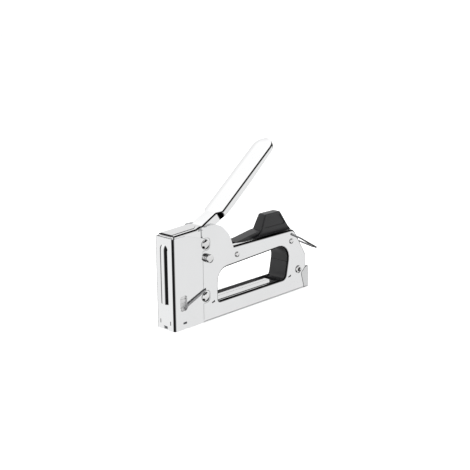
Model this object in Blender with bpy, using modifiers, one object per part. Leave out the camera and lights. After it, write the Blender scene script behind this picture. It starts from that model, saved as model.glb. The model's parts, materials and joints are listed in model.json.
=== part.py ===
"""Hand staple gun of pressed chrome steel, as an assembly of its separate pieces.

The tool stands on the bottom edge of its nose and magazine, with the nose towards -X, the
handle above and the mid-plane at Y = 0.  Sizes below are millimetres; the helpers turn them
into metres.  X is measured from the nose's front face and Z from its bottom edge, and the
root empty moves the whole tool so that the origin lies under the middle of its box.
"""
import math

import bmesh
import bpy
from mathutils import Matrix, Vector

MM = 0.001
CLEAR = 0.3             # gap between pieces that touch
LOOSE = 0.5             # gap around pieces that slide or are pulled out
OVER = 1.0              # how far a cutter runs past the face it cuts
SNAP_DIGITS = 7         # points are snapped to a tenth of a micrometre
SKIM = 0.03             # keeps two faces from lying in one plane where bodies are cut or joined
EDGE_ROUNDS = 2         # subdivisions of a rounded edge of an extruded body
EDGE_STEPS = 4          # facets of the lever's rounded long edges

# Body and nose
HALF_WIDTH = 12.3       # outer face of the side plates
PLATE = 1.2             # sheet of the shells, the nose cover and the latch
NOSE_DEPTH = 37.0       # front face to the seam with the shells
NOSE_HEIGHT = 87.5
NOSE_EDGE = 2.7         # rounded vertical edges of the nose
BODY_BOTTOM = 1.2
BODY_REAR = 186.5
RAIL_TOP = 66.2
HUMP_TOP = 92.0
HUMP_FOOT = 77.9        # where the hump's back meets the rail
RIM = 6.3               # width of the flanges along the shells' outer edge
SHELL_EDGE = 2.5        # rounding of the shells' bent edges
BEAD_RISE = 2.0         # how far the pressed bead stands out from the nose's front
NOSE_EAR = 5.7          # round ears of the nose cover at its two rivets
BEAD_R = 8.0            # radius of the bead's half-round form
BEAD_LOW, BEAD_HIGH = 25.0, 76.0            # ends of its straight part
SIDE_SLOT = ((10.8, 4.9), (15.3, 6.9))      # opposite corners (x, z) of the low slot in each side
FRONT_SLOT_HALF, FRONT_SLOT_LOW, FRONT_SLOT_TOP = 2.5, 1.0, 3.6
MARK_Y, MARK_HALF = 6.7, 0.45               # upright slots on both sides of the front slot
MARK_LOW, MARK_TOP = 5.4, 9.2

# Hand hole
HOLE_FRONT = 57.3
HOLE_BOTTOM = 16.1
HOLE_TOP_FRONT = 46.7
HOLE_TOP_REAR = 51.6
HOLE_REAR = BODY_REAR - 26.1
HOLE_REAR_FOOT = BODY_REAR - 33.0
LINER = 2.4             # wall of the plastic lining at the back of the hole
LINER_FRONT = HOLE_REAR - 19.0
LINER_SEAM = 33.4

# Rivets and pins: places of their axes
PIVOT_X, PIVOT_Z = 40.6, 75.2
STUD_X, STUD_Z = 43.1, 61.8
LOWER_RIVET_X, LOWER_RIVET_Z = 39.8, 24.6
FRONT_RIVET_X, FRONT_RIVET_Z = 82.6, 57.0
REAR_RIVET_X, REAR_RIVET_Z = BODY_REAR - 24.3, 54.2
TUBE_RIVET_X, TUBE_RIVET_Z = BODY_REAR - 12.9, 22.0
BIG_SHAFT, BIG_HEAD, BIG_DOME = 3.0, 4.9, 2.1
SMALL_SHAFT, SMALL_HEAD, SMALL_DOME = 1.7, 2.8, 1.2
# Heads of the stud and the tubular rivet: radius and height above the side plate
STUD_HEAD = ((0, 4.4), (2.9, 4.3), (4.0, 3.7), (4.2, 3.1), (4.2, 2.3), (3.2, 2.1), (3.2, 1.6),
             (4.3, 1.4), (4.3, 0))
TUBE_HEAD = ((1.7, 0.5), (2.3, 1.2), (3.5, 1.0), (4.1, 0.4), (4.1, 0))

# Lever: one pressed channel from the hood over the nose to the grip
LEVER_SHEET = 1.3
LEVER_HALF = HALF_WIDTH - PLATE - CLEAR     # the hood runs between the side plates
ARM_HALF = 8.0
GRIP_HALF = 12.25
LEVER_EDGE = 2.4
CROWN_TILT = 26.0       # how far the crowned grip has turned down where its tight edge starts
CROWN_FLAT = 0.3        # share of the grip's half width that is flat
HOOD_STEP = 0.4         # height of the raised strip that runs on from the arm over the hood
HOOD_STRIP = 0.86       # that strip's share of the hood's flat top
HOOD_FRONT, HOOD_FRONT_TOP = 2.3, 90.4
HOOD_SLOPE, HOOD_FALL = 1.3, 2.7            # run and drop of the hood's sloping front face
HOOD_REAR, HOOD_REAR_TOP = 31.0, 91.8
ARM_ANGLE = 31.0
GRIP_ANGLE = 38.3
GRIP_START_X, GRIP_START_Z = 62.5, 103.6
GRIP_LENGTH = 97.2
TIP_DROP = 2.3          # how far the rounded tip turns down
CLOSE_ANGLE = 36.0      # travel of the lever

# Driver and its plunger
LIFT_PIN_X = 10.0
LIFT_PIN_R = 2.3
FORK_SLACK = 0.45       # slot of the lever's forks beyond the pin's radius
LIFT_PIN_Z = PIVOT_Z - (PIVOT_X - LIFT_PIN_X) * math.tan(math.radians(CLOSE_ANGLE / 2))
DRIVER_SHEET = 1.3
DRIVER_HALF = 6.3
PLUNGER_BOTTOM = 30.0
PLUNGER_SHELF = 8.0
PLUNGER_REAR = 31.0
SPRING_X = 22.4
SPRING_R = 6.3          # mean radius of the main spring
SPRING_WIRE = 1.15
FRAME_BACK = 34.0
FRAME_SHEET = 1.2
SEAT_Z = 80.3           # underside of the main spring's fixed seat
FRAME_REAR = 47.5
SPRING_TURNS = 7
HAMMER_STUD_R, HAMMER_STUD_RISE = 2.6, 20.0     # stud that carries the blade, above the plunger's foot

# Magazine
CHANNEL_TOP = HOLE_BOTTOM - LINER - CLEAR
CHANNEL_SHEET = 1.0
STAPLE_CROWN = 10.5     # outer width of a staple
STAPLE_WIRE = 0.6
STAPLE_LEG = 8.0
STRIP_LENGTH = 60.0
PUSHER_LENGTH = 30.0
GUIDE_ROD_R = 1.0       # rod that the pusher slides on
PUSHER_SPRING_R, PUSHER_SPRING_WIRE = 1.9, 0.35
PUSHER_SPRING_TURNS = 10
LATCH_REAR = BODY_REAR + 3.8
LATCH_TOP = 23.4

# Plastic block on the rail
BLOCK_HALF = 6.4
BLOCK_TOP = 86.0
BLOCK_TOP_HALF = 5.0
BLOCK_FRONT = 88.0
BLOCK_PEAK_FRONT = BODY_REAR - 55.0
BLOCK_PEAK_REAR = BODY_REAR - 33.1

# Wires
BAIL_X, BAIL_Z = BODY_REAR - 24.2, 61.5
BAIL_REACH = 59.5       # hinge to the middle of the wire at its narrow end
BAIL_SLOPE = 26.5
BAIL_WIRE = 1.0
ADJUSTER_X, ADJUSTER_Z = 39.2, 31.9
ADJUSTER_WIRE = 0.95
WIRE_GAP = 0.4          # between the side plates and the wires beside them
WINDOW_X, WINDOW_Z = 11.8, 25.0
WINDOW_W, WINDOW_H = 8.6, 14.5
BAIL_STRAIGHT = 14.0    # part of its arms that runs along the side plates
BAIL_END_HALF = 2.4     # half width of its narrow end
ADJUSTER_HOOK = 3.4     # length of the adjuster's hooked end
RACK_HALF_X, RACK_HALF_Z, RACK_SHEET = 6.2, 8.8, 1.3
RACK_GROOVE, RACK_GROOVE_DEPTH, RACK_PITCH = 0.9, 0.6, 4.0

INNER = HALF_WIDTH - PLATE
FRAME_HALF = LEVER_HALF - LEVER_SHEET - 0.4
PLUNGER_HALF = FRAME_HALF - CLEAR


# ---------------------------------------------------------------- outlines

def corner_lines(corners, distance):
    """Each side of a counter-clockwise outline, moved inwards by distance."""
    lines = []
    for i, (x, y, _) in enumerate(corners):
        nx, ny, _ = corners[(i + 1) % len(corners)]
        along = Vector((nx - x, ny - y)).normalized()
        inward = Vector((-along.y, along.x))
        lines.append((Vector((x, y)) + inward * distance, along))
    return lines


def inset(corners, distance):
    """The outline moved inwards (or outwards, if negative) with its roundings kept parallel."""
    lines = corner_lines(corners, distance)
    moved = []
    for i, (x, y, radius) in enumerate(corners):
        (p, u), (q, v) = lines[i - 1], lines[i]
        turn = u.x * v.y - u.y * v.x
        if abs(turn) < 1e-6:
            meet = q
        else:
            meet = p + u * ((q - p).x * v.y - (q - p).y * v.x) / turn
        new_radius = radius - distance if turn > 0 else radius + distance
        moved.append((meet.x, meet.y, max(new_radius, 0.0) if radius else 0.0))
    return moved


def rounded(corners, step=18.0):
    """Points of an outline whose corners (x, y, radius) are rounded by tangent arcs."""
    points = []
    count = len(corners)
    for i, (x, y, radius) in enumerate(corners):
        here = Vector((x, y))
        before = Vector(corners[i - 1][:2]) - here
        after = Vector(corners[(i + 1) % count][:2]) - here
        before_length, after_length = before.length, after.length
        before.normalize()
        after.normalize()
        half = math.acos(max(-1.0, min(1.0, before.dot(after)))) / 2
        if radius < 0.05 or half > math.radians(89.5):
            points.append(here)
            continue
        reach = min(radius / math.tan(half), 0.49 * before_length, 0.49 * after_length)
        radius = reach * math.tan(half)
        centre = here + (before + after).normalized() * (radius / math.sin(half))
        start = here + before * reach - centre
        sweep = math.pi - 2 * half
        if before.x * after.y - before.y * after.x > 0:
            sweep = -sweep
        steps = max(2, math.ceil(abs(math.degrees(sweep)) / step))
        for k in range(steps + 1):
            points.append(centre + Matrix.Rotation(sweep * k / steps, 2) @ start)
    return points


def rectangle(x0, z0, x1, z1, radius=0.0):
    return [(x0, z0, radius), (x1, z0, radius), (x1, z1, radius), (x0, z1, radius)]


def body_outline(front, bottom):
    """Side view of the body without its hump."""
    return [
        (front, bottom, 0),
        (BODY_REAR, bottom, 0),
        (BODY_REAR, 35.6, 4),
        (BODY_REAR - 19.5, RAIL_TOP, 9),
        (front, RAIL_TOP, 0),
    ]


def hump_outline():
    """Flat cheek of the shell, from the seam up over the lever's pivot and down to the rail."""
    return [
        (NOSE_DEPTH - 0.2, RAIL_TOP - 14, 0),
        (HUMP_FOOT, RAIL_TOP - 14, 0),
        (HUMP_FOOT + 0.6, RAIL_TOP - 3, 0),
        (HUMP_FOOT - 5.4, HUMP_TOP - 13, 16),
        (HUMP_FOOT - 18, HUMP_TOP - 0.5, 18),
        (NOSE_DEPTH - 0.2, HUMP_TOP - 0.4, 1.5),
    ]


def hole_outline():
    return [
        (HOLE_FRONT, HOLE_BOTTOM, 2.0),
        (HOLE_REAR_FOOT, HOLE_BOTTOM, 4.5),
        (HOLE_REAR, HOLE_TOP_REAR, 13.0),
        (HOLE_FRONT, HOLE_TOP_FRONT, 12.0),
    ]


def nose_outline():
    """Side view of the nose cover, with an ear around each of its two rivets."""
    upper, lower = PIVOT_Z, LOWER_RIVET_Z
    return [
        (0, 0, 0),
        (NOSE_DEPTH, 0, 0.6),
        (NOSE_DEPTH, lower - NOSE_EAR, 1.0),
        (LOWER_RIVET_X + NOSE_EAR, lower - NOSE_EAR, NOSE_EAR),
        (LOWER_RIVET_X + NOSE_EAR, lower + NOSE_EAR, NOSE_EAR),
        (NOSE_DEPTH, lower + NOSE_EAR, 1.0),
        (NOSE_DEPTH, upper - NOSE_EAR, 1.0),
        (PIVOT_X + NOSE_EAR, upper - NOSE_EAR, NOSE_EAR),
        (PIVOT_X + NOSE_EAR, upper + NOSE_EAR, NOSE_EAR),
        (PIVOT_X - 2, upper + NOSE_EAR + 0.2, 2.0),
        (16.5, NOSE_HEIGHT, 4.0),
        (0, NOSE_HEIGHT, 0),
    ]


def latch_outline():
    return [
        (BODY_REAR - 3.4, 0.2, 0.8),
        (LATCH_REAR, 0.2, 0.8),
        (LATCH_REAR, LATCH_TOP, 2.0),
        (BODY_REAR - 2.0, LATCH_TOP - 1.2, 4.0),
        (BODY_REAR - 8.4, LATCH_TOP - 6.6, 3.0),
    ]


# ---------------------------------------------------------------- modelling helpers

PARTS = None
CUTTERS = None
ROOT = None

AXES = {
    "XY": Matrix(((1, 0, 0), (0, 1, 0), (0, 0, 1))),
    "XZ": Matrix(((1, 0, 0), (0, 0, -1), (0, 1, 0))),
    "YZ": Matrix(((0, 0, 1), (1, 0, 0), (0, 1, 0))),
}


def new_object(name, mesh):
    piece = bpy.data.objects.new(name, mesh)
    PARTS.objects.link(piece)
    piece.parent = ROOT
    return piece


def from_bmesh(name, bm):
    """A piece from a bmesh, its points snapped so that faces meant to be flush share a plane."""
    for vert in bm.verts:
        vert.co = [round(value, SNAP_DIGITS) for value in vert.co]
    bmesh.ops.recalc_face_normals(bm, faces=bm.faces)
    mesh = bpy.data.meshes.new(name)
    bm.to_mesh(mesh)
    bm.free()
    return new_object(name, mesh)


def mesh_of_curve(name, curve, matrix):
    """The curve's surface as a closed mesh piece in place."""
    holder = bpy.data.objects.new(name, curve)
    bpy.context.scene.collection.objects.link(holder)
    holder.matrix_world = matrix
    graph = bpy.context.evaluated_depsgraph_get()
    mesh = bpy.data.meshes.new_from_object(holder.evaluated_get(graph))
    bm = bmesh.new()
    bm.from_mesh(mesh)
    bmesh.ops.transform(bm, matrix=matrix, verts=bm.verts)
    bmesh.ops.remove_doubles(bm, verts=bm.verts, dist=0.002 * MM)
    bpy.data.objects.remove(holder)
    bpy.data.meshes.remove(mesh)
    return from_bmesh(name, bm)


def extrude(name, plane, outline, low, high, holes=(), edge=0.0):
    """A flat outline in the plane, drawn out from low to high, with rounded edges."""
    low, high = min(low, high), max(low, high)
    curve = bpy.data.curves.new(name, "CURVE")
    curve.dimensions = "2D"
    curve.fill_mode = "BOTH"
    curve.extrude = ((high - low) / 2 - edge) * MM
    curve.bevel_depth = edge * MM
    curve.bevel_resolution = EDGE_ROUNDS
    loops = [inset(outline, edge)] + [inset(hole, -edge) for hole in holes]
    for corners in loops:
        points = rounded(corners)
        spline = curve.splines.new("POLY")
        spline.points.add(len(points) - 1)
        for target, point in zip(spline.points, points):
            target.co = (point.x * MM, point.y * MM, 0, 1)
        spline.use_cyclic_u = True
    turn = AXES[plane]
    middle = turn @ Vector((0, 0, (low + high) / 2 * MM))
    if plane == "XZ":
        middle.y = (low + high) / 2 * MM
    return mesh_of_curve(name, curve, Matrix.Translation(middle) @ turn.to_4x4())


def block(name, low, high, bevel=0.0):
    """A box between two opposite corners."""
    low, high = [min(pair) for pair in zip(low, high)], [max(pair) for pair in zip(low, high)]
    bm = bmesh.new()
    bmesh.ops.create_cube(bm, size=1.0)
    for vert in bm.verts:
        for i in range(3):
            vert.co[i] = (low[i] + (high[i] - low[i]) * (vert.co[i] + 0.5)) * MM
    piece = from_bmesh(name, bm)
    if bevel:
        modifier = piece.modifiers.new("edges", "BEVEL")
        modifier.width = bevel * MM
        modifier.segments = 2
    return piece


def rod(name, start, end, radius, segments=18):
    """A round bar between two points."""
    start, end = Vector(start) * MM, Vector(end) * MM
    along = end - start
    bm = bmesh.new()
    bmesh.ops.create_cone(
        bm, cap_ends=True, segments=segments,
        radius1=radius * MM, radius2=radius * MM, depth=along.length,
    )
    turn = along.to_track_quat("Z", "Y").to_matrix().to_4x4()
    bmesh.ops.transform(bm, matrix=Matrix.Translation((start + end) / 2) @ turn, verts=bm.verts)
    return from_bmesh(name, bm)


def turned(name, profile, x, z, segments=18):
    """A profile of (radius, y) turned about an axis along Y through (x, z)."""
    mesh = bpy.data.meshes.new(name)
    points = [(radius * MM, 0, height * MM) for radius, height in profile]
    edges = [(i, i + 1) for i in range(len(points) - 1)]
    mesh.from_pydata(points, edges, [])
    piece = new_object(name, mesh)
    piece.location = (x * MM, 0, z * MM)
    piece.rotation_euler = (math.radians(90), 0, 0)
    screw = piece.modifiers.new("turn", "SCREW")
    screw.steps = screw.render_steps = segments
    screw.use_merge_vertices = True
    screw.merge_threshold = 0.002 * MM
    weld = piece.modifiers.new("close", "WELD")
    weld.merge_threshold = 0.002 * MM
    return piece


def wire(name, points, radius, resolution=2):
    """A round wire through the points."""
    curve = bpy.data.curves.new(name, "CURVE")
    curve.dimensions = "3D"
    curve.bevel_depth = radius * MM
    curve.bevel_resolution = resolution
    curve.use_fill_caps = True
    spline = curve.splines.new("POLY")
    spline.points.add(len(points) - 1)
    for target, point in zip(spline.points, points):
        target.co = (*(Vector(point) * MM), 1)
    return mesh_of_curve(name, curve, Matrix.Identity(4))


def loft(name, rings):
    """A closed body through rings of equally many points."""
    bm = bmesh.new()
    rows = [[bm.verts.new(Vector(point) * MM) for point in ring] for ring in rings]
    count = len(rings[0])
    for lower, upper in zip(rows, rows[1:]):
        for i in range(count):
            j = (i + 1) % count
            bm.faces.new((lower[i], lower[j], upper[j], upper[i]))
    bm.faces.new(rows[0])
    bm.faces.new(rows[-1])
    return from_bmesh(name, bm)


def boolean(piece, other, operation):
    """Cut, join or intersect a piece with another body, which becomes a hidden guide."""
    modifier = piece.modifiers.new(other.name, "BOOLEAN")
    modifier.operation = operation
    modifier.object = other
    if other.name in PARTS.objects:
        PARTS.objects.unlink(other)
        CUTTERS.objects.link(other)
    other.hide_render = True
    other.display_type = "WIRE"


def cut(piece, *cutters):
    for cutter in cutters:
        boolean(piece, cutter, "DIFFERENCE")


def join(piece, *others):
    for other in others:
        boolean(piece, other, "UNION")


def common(piece, other):
    boolean(piece, other, "INTERSECT")


def origin_at(piece, x, z):
    """Move a moving piece's origin onto its joint's axis."""
    point = Vector((x * MM, 0, z * MM))
    piece.data.transform(Matrix.Translation(-point))
    piece.location = point


def mirror_image(name, piece):
    """The piece's finished shape on the other side of the mid-plane, as a piece of its own."""
    graph = bpy.context.evaluated_depsgraph_get()
    mesh = bpy.data.meshes.new_from_object(piece.evaluated_get(graph))
    bm = bmesh.new()
    bm.from_mesh(mesh)
    bpy.data.meshes.remove(mesh)
    bmesh.ops.scale(bm, vec=(1, -1, 1), verts=bm.verts)
    bmesh.ops.reverse_faces(bm, faces=bm.faces)
    return from_bmesh(name, bm)


def finish(piece, material, angle=35.0):
    piece.data.materials.clear()
    piece.data.materials.append(material)
    piece.data.shade_smooth()
    piece.data.set_sharp_from_angle(angle=math.radians(angle))


# ---------------------------------------------------------------- materials

def surface(name, colour, roughness, metallic):
    material = bpy.data.materials.new(name)
    material.use_nodes = True
    shader = material.node_tree.nodes["Principled BSDF"]
    shader.inputs["Base Color"].default_value = (*colour, 1)
    shader.inputs["Roughness"].default_value = roughness
    shader.inputs["Metallic"].default_value = metallic
    material.diffuse_color = (*colour, 1)
    return material


def make_materials():
    return {
        "chrome": surface("chrome", (0.78, 0.79, 0.80), 0.08, 1.0),
        "steel": surface("steel", (0.45, 0.46, 0.48), 0.32, 1.0),
        "spring": surface("spring_steel", (0.22, 0.22, 0.24), 0.35, 1.0),
        "staple": surface("staple_wire", (0.62, 0.63, 0.65), 0.25, 1.0),
        "plastic": surface("black_plastic", (0.02, 0.02, 0.022), 0.45, 0.0),
        "rubber": surface("rubber", (0.03, 0.03, 0.03), 0.8, 0.0),
    }


# ---------------------------------------------------------------- body

def rivet_hole(name, x, z, radius):
    reach = HALF_WIDTH + OVER
    return rod(name, (x, -reach, z), (x, reach, z), radius)


def make_shell():
    """The far side shell, a pressed tray: flanges outside, a full-width rim around the hole."""
    name = "far_shell"
    front, bottom = NOSE_DEPTH - 8, BODY_BOTTOM - 6
    shell = extrude(name, "XZ", body_outline(front, bottom), HALF_WIDTH, -5,
                    holes=[hole_outline()], edge=SHELL_EDGE)
    hump = extrude(name + "_hump", "XZ", hump_outline(), HALF_WIDTH, INNER - LOOSE)
    cavity = extrude(name + "_cavity", "XZ", inset(body_outline(front - 5, bottom - 5), PLATE),
                     INNER, -6, holes=[inset(hole_outline(), -PLATE)], edge=SHELL_EDGE - PLATE)
    rims = extrude(name + "_rim_slot", "XZ", inset(body_outline(front - 20, bottom - 20), -OVER),
                   HALF_WIDTH - RIM, -8,
                   holes=[inset(body_outline(front - 15, bottom - 15), PLATE + 0.4)])
    centre = block(name + "_middle", (front - OVER, CLEAR / 2, bottom - OVER),
                   (BODY_REAR + OVER, -9, HUMP_TOP + OVER))
    foot = block(name + "_foot", (front - OVER, -HALF_WIDTH - OVER, bottom - OVER),
                 (BODY_REAR + OVER, HALF_WIDTH + OVER, BODY_BOTTOM))
    throat = block(name + "_throat", (front - OVER, -INNER - SKIM, HOLE_TOP_FRONT + PLATE + 3),
                   (HUMP_FOOT + 0.4, INNER + SKIM, HUMP_TOP + OVER))
    nose = extrude(name + "_nose", "XZ", inset(nose_outline(), -CLEAR),
                   -HALF_WIDTH - OVER, HALF_WIDTH + OVER)
    seam = block(name + "_seam", (front - OVER, -HALF_WIDTH - OVER, bottom - OVER),
                 (NOSE_DEPTH - 0.1, HALF_WIDTH + OVER, HUMP_TOP + OVER))
    latch = extrude(name + "_latch", "XZ", inset(latch_outline(), -CLEAR),
                    -HALF_WIDTH - OVER, HALF_WIDTH + OVER)
    liner = extrude(name + "_liner", "XZ", inset(hole_outline(), -LINER - CLEAR),
                    -INNER - SKIM, INNER + SKIM)
    common(liner, block(name + "_liner_end", (LINER_FRONT - CLEAR, -INNER - OVER, 0),
                        (BODY_REAR - 8, INNER + OVER, RAIL_TOP - 2)))
    cut(shell, centre, foot)
    join(shell, hump)
    cut(shell, seam, cavity, rims, throat, nose, latch, liner)
    holes = (
        ("stud", STUD_X, STUD_Z, BIG_SHAFT + CLEAR),
        ("adjuster", ADJUSTER_X, ADJUSTER_Z, ADJUSTER_WIRE + LOOSE),
        ("front_rivet", FRONT_RIVET_X, FRONT_RIVET_Z, SMALL_SHAFT + CLEAR),
        ("rear_rivet", REAR_RIVET_X, REAR_RIVET_Z, SMALL_SHAFT + CLEAR),
        ("tube_rivet", TUBE_RIVET_X, TUBE_RIVET_Z, BIG_SHAFT + CLEAR),
        ("bail", BAIL_X, BAIL_Z, BAIL_WIRE + LOOSE),
    )
    for label, x, z, radius in holes:
        cut(shell, rivet_hole(name + "_" + label, x, z, radius))
    return shell


def make_nose_cover():
    """Bent sheet around the nose: front wall with a pressed bead and a window in each side."""
    rear = PIVOT_X + NOSE_EAR + 2
    plan = [
        (rear, -INNER, 0),
        (PLATE, -INNER, NOSE_EDGE - PLATE),
        (PLATE, INNER, NOSE_EDGE - PLATE),
        (rear, INNER, 0),
        (rear, HALF_WIDTH, 0),
        (0, HALF_WIDTH, NOSE_EDGE),
        (0, -HALF_WIDTH, NOSE_EDGE),
        (rear, -HALF_WIDTH, 0),
    ]
    plan.reverse()
    cover = extrude("nose_cover", "XY", plan, -2, NOSE_HEIGHT + 2)
    side_view = nose_outline()
    for i in (0, -1):
        side_view[i] = (-OVER, side_view[i][1], 0)
    common(cover, extrude("nose_side_view", "XZ", side_view, -HALF_WIDTH - OVER, HALF_WIDTH + OVER))

    bead_x = BEAD_R - BEAD_RISE
    join(cover, bead("nose_bead", bead_x, BEAD_R, BEAD_LOW, BEAD_HIGH, PLATE / 2))
    cut(cover, bead("nose_bead_hollow", bead_x, BEAD_R - PLATE, BEAD_LOW + PLATE,
                    BEAD_HIGH, bead_x))
    reach = HALF_WIDTH + OVER
    cut(cover, extrude("nose_window", "XZ", rectangle(
        WINDOW_X - WINDOW_W / 2, WINDOW_Z - WINDOW_H / 2,
        WINDOW_X + WINDOW_W / 2, WINDOW_Z + WINDOW_H / 2, 2.2), -reach, reach))
    (slot_x0, slot_z0), (slot_x1, slot_z1) = SIDE_SLOT
    cut(cover, block("nose_side_slot", (slot_x0, -reach, slot_z0), (slot_x1, reach, slot_z1)))
    cut(cover, block("nose_front_slot", (-OVER, -FRONT_SLOT_HALF, FRONT_SLOT_LOW),
                     (PLATE + OVER, FRONT_SLOT_HALF, FRONT_SLOT_TOP)))
    for y in (-MARK_Y, MARK_Y):
        cut(cover, block("nose_front_mark", (-OVER, y - MARK_HALF, MARK_LOW),
                         (PLATE + OVER, y + MARK_HALF, MARK_TOP)))
    cut(cover, rivet_hole("nose_pivot_hole", PIVOT_X, PIVOT_Z, BIG_SHAFT + CLEAR))
    cut(cover, rivet_hole("nose_rivet_hole", LOWER_RIVET_X, LOWER_RIVET_Z, BIG_SHAFT + CLEAR))
    return cover


def bead(name, x, radius, low, high, back):
    """Half-round ridge on the nose, domed at its top; back is the X where it ends."""
    ridge = rod(name, (x, 0, low), (x, 0, high), radius, 32)
    bm = bmesh.new()
    bmesh.ops.create_uvsphere(bm, u_segments=32, v_segments=16, radius=radius * MM)
    bmesh.ops.translate(bm, verts=bm.verts, vec=Vector((x, 0, high)) * MM)
    dome = from_bmesh(name + "_dome", bm)
    join(ridge, dome)
    cut(ridge, block(name + "_back", (back, -radius - OVER, low - OVER),
                     (x + radius + OVER, radius + OVER, high + radius + OVER)))
    return ridge


def make_frame():
    """Inner bracket: back wall, two cheeks for the rivets and the fixed seat of the spring."""
    low, cheek_top = CHANNEL_TOP + LOOSE, PIVOT_Z - BIG_SHAFT - LOOSE
    back = FRAME_BACK + FRAME_SHEET
    frame = block("inner_frame", (FRAME_BACK, -FRAME_HALF, low),
                  (back, FRAME_HALF, SEAT_Z + FRAME_SHEET))
    join(frame, block("frame_seat", (SPRING_X - SPRING_R - SPRING_WIRE - 0.4, -FRAME_HALF, SEAT_Z),
                      (FRAME_BACK + 0.5, FRAME_HALF, SEAT_Z + FRAME_SHEET)))
    for side, label in ((-1, "near"), (1, "far")):
        inner = side * (FRAME_HALF - FRAME_SHEET)
        join(frame, block("frame_cheek_" + label, (back - 0.5, inner, low),
                          (FRAME_REAR, side * FRAME_HALF, cheek_top)))
    for label, x, z, radius in (
        ("stud", STUD_X, STUD_Z, BIG_SHAFT + CLEAR),
        ("rivet", LOWER_RIVET_X, LOWER_RIVET_Z, BIG_SHAFT + CLEAR),
        ("wire", ADJUSTER_X, ADJUSTER_Z, ADJUSTER_WIRE + LOOSE),
    ):
        cut(frame, rivet_hole("frame_hole_" + label, x, z, radius))
    return frame


def dome_profile(head, dome, face, steps=3):
    """Quarter profile of a domed head, from its pole to its rim."""
    return [(head * math.sin(math.radians(90 * k / steps)),
             face + dome * math.cos(math.radians(90 * k / steps))) for k in range(steps + 1)]


def through_profile(head):
    """Profile of a through pin with a big shaft and the same head on both sides."""
    face = HALF_WIDTH + CLEAR
    upper = [(radius, face + height) for radius, height in head]
    lower = [(radius, -height) for radius, height in reversed(upper)]
    return upper + [(BIG_SHAFT, face), (BIG_SHAFT, -face)] + lower


def make_rivet(name, x, z, shaft, head, dome):
    face = HALF_WIDTH + CLEAR
    upper = dome_profile(head, dome, face)
    lower = [(r, -h) for r, h in reversed(upper)]
    return turned(name, upper + [(shaft, face), (shaft, -face)] + lower, x, z)


def make_stud():
    """Through pin whose grooved heads stand out on both sides."""
    return turned("side_stud", through_profile(STUD_HEAD), STUD_X, STUD_Z)


def make_tube_rivet():
    """Tubular rivet with rolled ends, open right through."""
    profile = through_profile(TUBE_HEAD)
    return turned("tube_rivet", profile + [profile[0]], TUBE_RIVET_X, TUBE_RIVET_Z)


def make_liner(name, front, low, high):
    """Part of the plastic wall at the back of the hand hole."""
    half = INNER - CLEAR
    liner = extrude(name, "XZ", inset(hole_outline(), -LINER), -half, half,
                    holes=[inset(hole_outline(), 0.2)])
    common(liner, block(name + "_range", (front, -half - OVER, low),
                        (BODY_REAR - 8, half + OVER, high)))
    return liner


def make_block():
    """Moulded block on the rail: it fills the handle's channel when the tool is squeezed."""
    slot = HALF_WIDTH - RIM - CLEAR
    rear = BODY_REAR - 20.5
    top = RAIL_TOP + CLEAR
    spine = [
        (BLOCK_FRONT, RAIL_TOP - 3, 0.5),
        (BODY_REAR - 28, RAIL_TOP - 3, 0.5),
        (BODY_REAR - 28, RAIL_TOP + 0.1, 0),
        (rear - 2, RAIL_TOP + 0.5, 0),
        (rear - 2, top + 2.2, 0),
        (BLOCK_PEAK_FRONT - 10, top + 5.4, 8),
        (BLOCK_FRONT, RAIL_TOP + 0.4, 0.4),
    ]
    body = extrude("grip_block", "XZ", spine, -slot, slot)
    base = block("block_base", (BLOCK_FRONT + 3, -INNER + CLEAR, RAIL_TOP - PLATE - 3.6),
                 (BODY_REAR - 28, INNER - CLEAR, RAIL_TOP - PLATE - CLEAR), 0.6)
    foot = HALF_WIDTH - SHELL_EDGE
    waist = top + 5.6
    rings = []
    for x0, x1, half, z in (
        (BLOCK_PEAK_FRONT - 20.0, rear - 0.7, foot, top),
        (BLOCK_PEAK_FRONT - 14.0, rear - 1.4, foot - 0.8, top + 0.7),
        (BLOCK_PEAK_FRONT - 10.0, rear - 2.0, BLOCK_HALF + 1.0, top + 2.4),
        (BLOCK_PEAK_FRONT - 7.0, rear - 3.6, BLOCK_HALF, waist),
        (BLOCK_PEAK_FRONT - 0.4, BLOCK_PEAK_REAR + 0.6, BLOCK_TOP_HALF, BLOCK_TOP - 0.7),
        (BLOCK_PEAK_FRONT + 0.4, BLOCK_PEAK_REAR - 0.4, BLOCK_TOP_HALF - 0.7, BLOCK_TOP),
    ):
        plan = rounded(rectangle(x0, -half, x1, half, 1.4), 30)
        rings.append([(point.x, point.y, z) for point in plan])
    join(body, base, loft("block_peak", rings))
    for side, label in ((-1, "near"), (1, "far")):
        cut(body, block_recess("block_recess_" + label, side, waist, rear - 3.6))
    return body


def block_recess(name, side, low, rear):
    """Shallow hollow in a sloping side of the block, leaving a rim around it."""
    rim, depth, high = 1.9, 0.8, BLOCK_TOP - 2.6
    rise = BLOCK_TOP - low
    outline = rounded([(BLOCK_PEAK_FRONT - 7 + rim, low + 0.6, 1.5), (rear - rim, low + 0.6, 1.5),
                       (BLOCK_PEAK_REAR - rim * 0.6, high, 1.5),
                       (BLOCK_PEAK_FRONT + rim, high, 1.5)], 30)
    floor = [BLOCK_HALF - (BLOCK_HALF - BLOCK_TOP_HALF) * (point.y - low) / rise - depth
             for point in outline]
    rings = [[(point.x, side * across, point.y) for point, across in zip(outline, row)]
             for row in (floor, [HALF_WIDTH] * len(outline))]
    if side > 0:
        rings = [ring[::-1] for ring in rings]
    return loft(name, rings)


# ---------------------------------------------------------------- lever

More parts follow.
